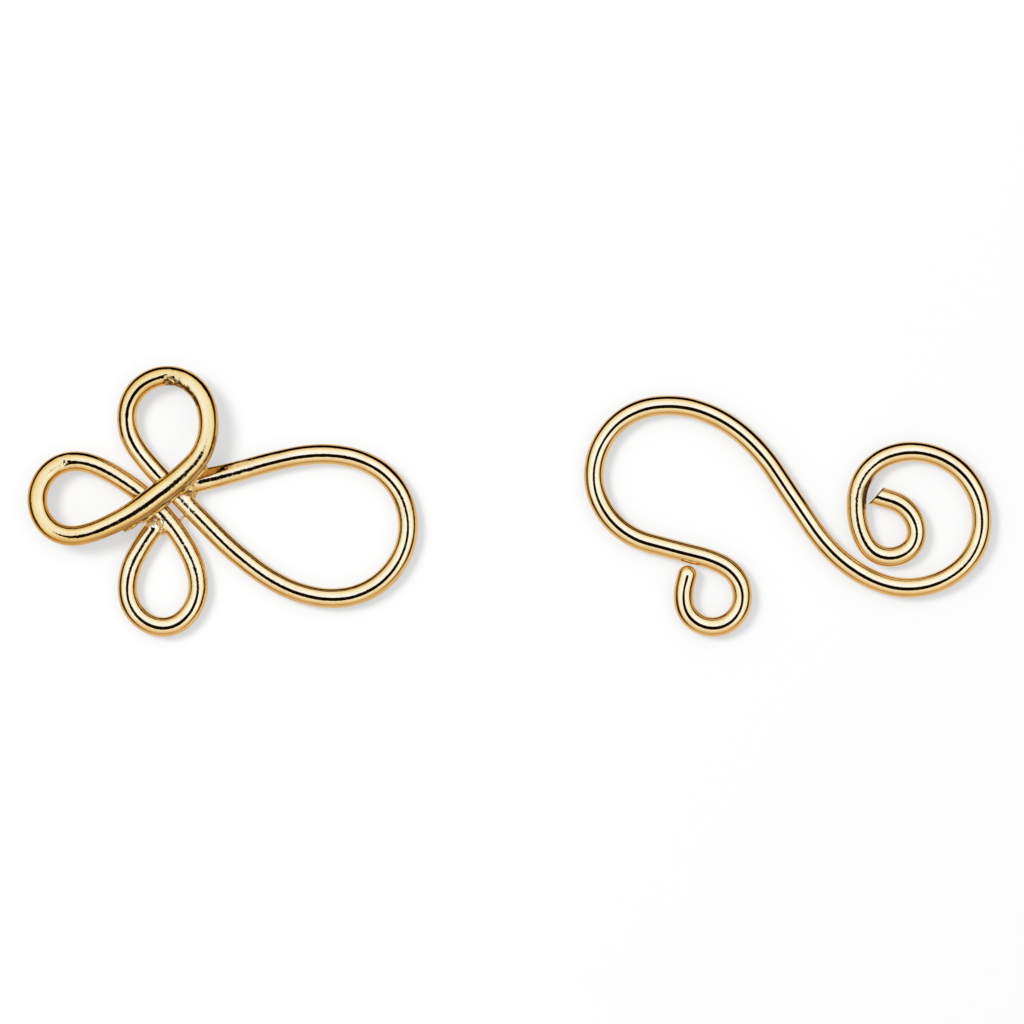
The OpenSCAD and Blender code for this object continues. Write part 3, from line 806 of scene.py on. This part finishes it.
# between the tent's rim and the board the room is seen as a dark band: rows of the way it is seen in, its
# middle from straight up and half its width in degrees, and how dark it is; its edges are GAP_EDGE soft
GAP = [(-180, 89, 18, 0.95), (-158, 89, 19, 0.97), (-135, 91, 14, 0.85), (-112, 89, 10, 0.15),
       (-65, 78, 8, 0.1), (-45, 75, 10, 0.75), (-22, 77, 15, 0.97), (0, 78, 13, 0.95), (22, 91, 20, 0.98),
       (45, 93, 26, 1), (68, 95, 22, 1), (90, 101, 23, 1), (112, 105, 24, 1), (135, 102, 20, 1),
       (158, 95, 16, 0.95), (180, 89, 18, 0.95)]
GAP_EDGE = 5
gap = add_node(tree, "ShaderNodeValToRGB", links={"Fac": around.outputs["Result"]})
set_stops(gap, [((way + 180) / 360, middle / 180, half / 180, dark) for way, middle, half, dark in GAP])
gap_parts = add_node(tree, "ShaderNodeSeparateColor", links={"Color": gap.outputs["Color"]})
off_middle = add_node(tree, "ShaderNodeMath", {}, {0: share.outputs[0], 1: gap_parts.outputs[0]},
                      operation="SUBTRACT")
off_size = add_node(tree, "ShaderNodeMath", {}, {0: off_middle.outputs[0]}, operation="ABSOLUTE")
inside = add_node(tree, "ShaderNodeMath", {}, {0: gap_parts.outputs[1], 1: off_size.outputs[0]},
                  operation="SUBTRACT")
unlit = add_node(tree, "ShaderNodeMapRange", {"From Min": -GAP_EDGE / 180, "From Max": GAP_EDGE / 180},
                 {"Value": inside.outputs[0]}, interpolation_type="SMOOTHSTEP")
unlit_part = add_node(tree, "ShaderNodeMath", {}, {0: unlit.outputs["Result"], 1: gap_parts.outputs[2]},
                      operation="MULTIPLY")
wall = add_node(tree, "ShaderNodeMath", {0: 1.0}, {1: unlit_part.outputs[0]}, operation="SUBTRACT")
sky = add_node(tree, "ShaderNodeMix", {}, {"Factor": room_side.outputs["Result"], 6: near_side.outputs[0],
                                           7: far_side.outputs[0]}, data_type="RGBA")

# the dark opening for the lens is a cone round a direction a little off straight up: degrees from straight
# up, the way that it leans, and its half angle at both sides of its soft edge
LENS_TILT, LENS_WAY, LENS_INNER, LENS_OUTER = 14, 264, 18.5, 21.5
tilt = np.radians(LENS_TILT)
beside = add_node(tree, "ShaderNodeVectorMath", {1: (*np.sin(tilt) * level(LENS_WAY), np.cos(tilt))},
                  {0: direction.outputs["Generated"]}, operation="DOT_PRODUCT")
opening = add_node(tree, "ShaderNodeMapRange",
                   {"From Min": np.cos(np.radians(LENS_INNER)), "From Max": np.cos(np.radians(LENS_OUTER)),
                    "To Min": 0.002, "To Max": 1.0},
                   {"Value": beside.outputs["Value"]}, interpolation_type="SMOOTHSTEP")
lit = add_node(tree, "ShaderNodeMath", {}, {0: opening.outputs["Result"], 1: wall.outputs[0]},
               operation="MULTIPLY")
bright = add_node(tree, "ShaderNodeMath", {}, {0: lit.outputs[0], 1: sky.outputs[2]}, operation="MULTIPLY")

# the brightest parts of the tent are cooler, which keeps their mirror image in the gold a pale cream: rows of
# brightness and the red, green and blue of it; the board is lit by the same tent in white
COOL = [(0, 0, 0, 0), (0.3, 0.38, 0.28, 0.19), (0.65, 0.78, 0.64, 0.5), (1.05, 1.04, 1.03, 1.05),
        (2, 1.2, 1.45, 2), (2.8, 1.26, 1.72, 2.8), (TENT, 1.28, 1.82, TENT)]
cool = add_node(tree, "ShaderNodeValToRGB", links={"Fac": bright.outputs[0]})
set_stops(cool, [[value / TENT for value in row] for row in COOL])
ray = add_node(tree, "ShaderNodeLightPath")
seen = add_node(tree, "ShaderNodeMix", {}, {"Factor": ray.outputs["Is Glossy Ray"], 6: bright.outputs[0],
                                            7: cool.outputs["Color"]}, data_type="RGBA")

# seen straight, the tent is plain pale cloth
cloth = add_node(tree, "ShaderNodeMix", {7: (*[0.9 / TENT] * 3, 1)},
                 {"Factor": ray.outputs["Is Camera Ray"], 6: seen.outputs[2]}, data_type="RGBA")
glow = add_node(tree, "ShaderNodeBackground", {"Strength": TENT}, {"Color": cloth.outputs[2]})
add_node(tree, "ShaderNodeOutputWorld", links={"Surface": glow.outputs["Background"]})

# one soft lamp above to the upper left gives the shadows their direction
lamp_light = bpy.data.lights.new("lamp", "AREA")
lamp_light.shape, lamp_light.size, lamp_light.energy = "DISK", 0.22, 8.4
lamp = bpy.data.objects.new("lamp", lamp_light)
lamp.location = (-0.3, 0.155, 0.51)
lamp.rotation_euler = Vector(lamp.location).to_track_quat("Z", "Y").to_euler()
lamp.visible_glossy = False
bpy.context.scene.collection.objects.link(lamp)

# the camera looks straight down through a long lens; at the height of the wire's middle its frame is FRAME_W
# wide with its middle at FRAME_AT, and it stands CAMERA_UP over that
FRAME_W, FRAME_AT = 66.56 * MM, (0.13 * MM, -0.6825 * MM)
CAMERA_UP, SENSOR_W = 0.5, 36
camera_data = bpy.data.cameras.new("camera")
camera_data.sensor_width = SENSOR_W
camera_data.lens = SENSOR_W * CAMERA_UP / FRAME_W
camera = bpy.data.objects.new("camera", camera_data)
camera.location = (*FRAME_AT, CAMERA_UP + WIRE_R * MM)
bpy.context.scene.collection.objects.link(camera)
bpy.context.scene.camera = camera
bpy.context.scene.view_settings.view_transform = "Standard"
